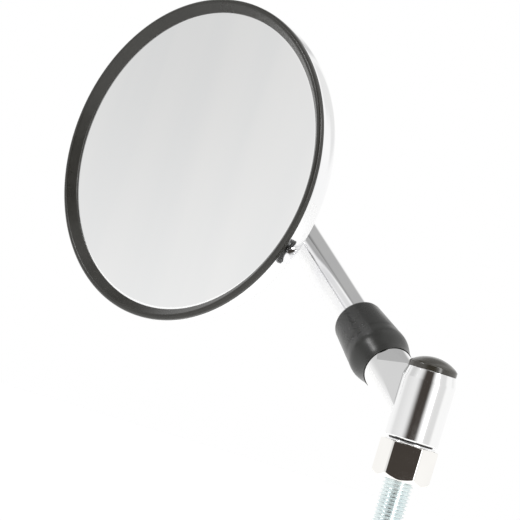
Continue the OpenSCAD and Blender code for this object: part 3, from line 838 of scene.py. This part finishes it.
# Materials of the CAD nodes that are shown as they are.
def dress_cad_nodes():
    looks = {
        "head_washer": ZINC, "upper_disc_spring": SPRING, "lower_disc_spring": SPRING,
        "upper_bush": BUSH_PLASTIC, "lock_washer": ZINC, "lock_nut": ZINC, "ball": BALL,
        "rear_seat": SEAT_PLASTIC, "front_seat": SEAT_PLASTIC, "socket_plate": PLATE,
        "clamp_plate": PLATE, "clamp_screws": ZINC, "screw_washers": ZINC,
        "backing_plate": BUSH_PLASTIC, "foam_pad": FOAM,
    }
    for node, mat in looks.items():
        mesh = frame["nodes"][node].data
        mesh.materials.clear()
        mesh.materials.append(mat)


dress_cad_nodes()


# Floor, light and camera, in metres.
def floor():
    bm = bmesh.new()
    bmesh.ops.create_circle(bm, cap_ends=True, segments=96, radius=6.0)
    ob = add_object("floor", bm, Matrix.Translation((0, 0, -0.2)))
    ob.data.materials.append(FLOOR_PAPER)


def degrees(nodes, angle):
    return nodes.times(angle, 180 / math.pi)


def along(nodes, direction, vector):
    """How much of a direction lies along a vector."""
    node = nodes.add("ShaderNodeVectorMath", operation="DOT_PRODUCT")
    nodes.put(node.inputs[0], direction)
    nodes.put(node.inputs[1], vector)
    return node.outputs["Value"]


def tent(nodes, direction):
    """The brightness of a white tent and of the cards in it, and where the tent is open.

    Turn is counted from the camera's side to the right, and rise from level. Off is the angle
    from the arm's line, and about is the turn round that line. All are in degrees.
    """
    split = nodes.add("ShaderNodeSeparateXYZ")
    nodes.put(split.inputs[0], direction)
    x, y, z = split.outputs
    turn = degrees(nodes, nodes.math("ARCTAN2", x, nodes.times(y, -1.0)))
    rise = degrees(nodes, nodes.math("ARCSINE", z))
    facing = (CAMERA - ARM_START).normalized()
    front = (facing - facing.dot(ARM_DIR) * ARM_DIR).normalized()
    side = front.cross(ARM_DIR)
    about = nodes.math("ARCTAN2", along(nodes, direction, side), along(nodes, direction, front))
    about = degrees(nodes, about)
    off = degrees(nodes, nodes.math("ARCCOSINE", along(nodes, direction, ARM_DIR)))

    def patch(first, second):
        return nodes.times(nodes.window(*first), nodes.window(*second))

    def hang(tone, card, share):
        """Where the card hangs, the tone becomes this share of what it was."""
        return nodes.times(tone, nodes.ramp(card, 0.0, 1.0, 1.0, share, kind="LINEAR"))

    # the walls are a little greyer at the left, more so higher up, and at the right
    grey = nodes.times(nodes.window(turn, -103, -72, 8, 12), nodes.ramp(rise, -6, 12, 0.10, 0.27))
    for wall, depth in (((47, 82, 12, 8), 0.24), ((-72, -40, 8, 8), 0.08), ((-118, -34, 8, 6), 0.07)):
        grey = nodes.math("ADD", grey, nodes.times(nodes.window(turn, *wall), depth))
    tone = nodes.math("SUBTRACT", 1.03, grey)
    # a grey card round the arm's line, darker along one edge
    ring = (off, 20, 47, 8, 4)
    tone = hang(tone, patch(ring, (about, -128, -12, 14, 9)), 0.45)
    tone = hang(tone, patch(ring, (about, -38, -10, 9, 8)), 0.58)
    # a pale one behind the mirror at the right, which keeps clear of the first
    behind = patch((turn, 120, 160, 8, 8), (rise, 13, 46, 5, 6))
    tone = hang(tone, nodes.times(behind, nodes.ramp(off, 47, 55)), 0.84)
    # a narrow one that the arm's end flat mirrors
    tone = hang(tone, patch((off, 58.2, 68, 1.5, 3), (about, -50, 0, 8, 8)), 0.56)
    # a bright window at the right of the opening
    tone = hang(tone, patch((turn, 31, 43, 4, 4), (rise, -3, 36, 3, 5)), 5.0)
    opening = patch((turn, -34, 17, 16, 10), (rise, -38, 56, 8, 10))
    return tone, opening


def world():
    studio = bpy.data.worlds.new("studio")
    scene.world = studio
    studio.use_nodes = True
    nodes = Nodes(studio.node_tree)
    out = nodes.add("ShaderNodeOutputWorld")
    background = nodes.add("ShaderNodeBackground")
    tone, opening = tent(nodes, nodes.add("ShaderNodeTexCoord").outputs["Generated"])
    white = nodes.add("ShaderNodeCombineColor")
    for i, share in enumerate((1.0, 1.0, 0.995)):
        nodes.put(white.inputs[i], nodes.times(tone, share))
    color = nodes.mix(opening, white.outputs[0], (0.058, 0.050, 0.044, 1))
    seen = nodes.add("ShaderNodeLightPath").outputs["Is Camera Ray"]
    nodes.put(background.inputs[0], nodes.mix(seen, color, (1, 1, 1, 1)))
    nodes.put(out.inputs[0], background.outputs[0])


def lamp(name, place, size, power):
    """A round lamp that points at the knuckle and the lower stem."""
    target = Vector((-0.04, 0.03, 0.05))
    data = bpy.data.lights.new(name, "AREA")
    data.shape = "DISK"
    data.size = size
    data.energy = power
    ob = bpy.data.objects.new(name, data)
    ob.location = place
    ob.rotation_mode = "QUATERNION"
    ob.rotation_quaternion = (target - Vector(place)).to_track_quat("-Z", "Y")
    scene.collection.objects.link(ob)


def camera():
    turn, rise, roll = math.radians(3.648), math.radians(1.745), math.radians(16.963)
    data = bpy.data.cameras.new("camera")
    data.sensor_width = 36.0
    data.lens = 214.1
    data.clip_start = 0.05
    data.clip_end = 50.0
    ahead = heading(math.pi / 2 + turn, rise)
    right = ahead.cross(Vector((0, 0, 1))).normalized()
    up = right.cross(ahead)
    across = math.cos(roll) * right + math.sin(roll) * up
    upward = math.cos(roll) * up - math.sin(roll) * right
    axes = Matrix((across, upward, -ahead)).transposed()
    ob = bpy.data.objects.new("camera", data)
    ob.matrix_world = Matrix.Translation(CAMERA / 1000) @ axes.to_4x4()
    scene.collection.objects.link(ob)
    scene.camera = ob


floor()
world()
lamp("key", (0.5, -0.7, 0.9), size=0.32, power=3.2)
lamp("fill", (-0.9, -0.5, 0.7), size=0.26, power=2.2)
camera()

bpy.context.view_layer.update()
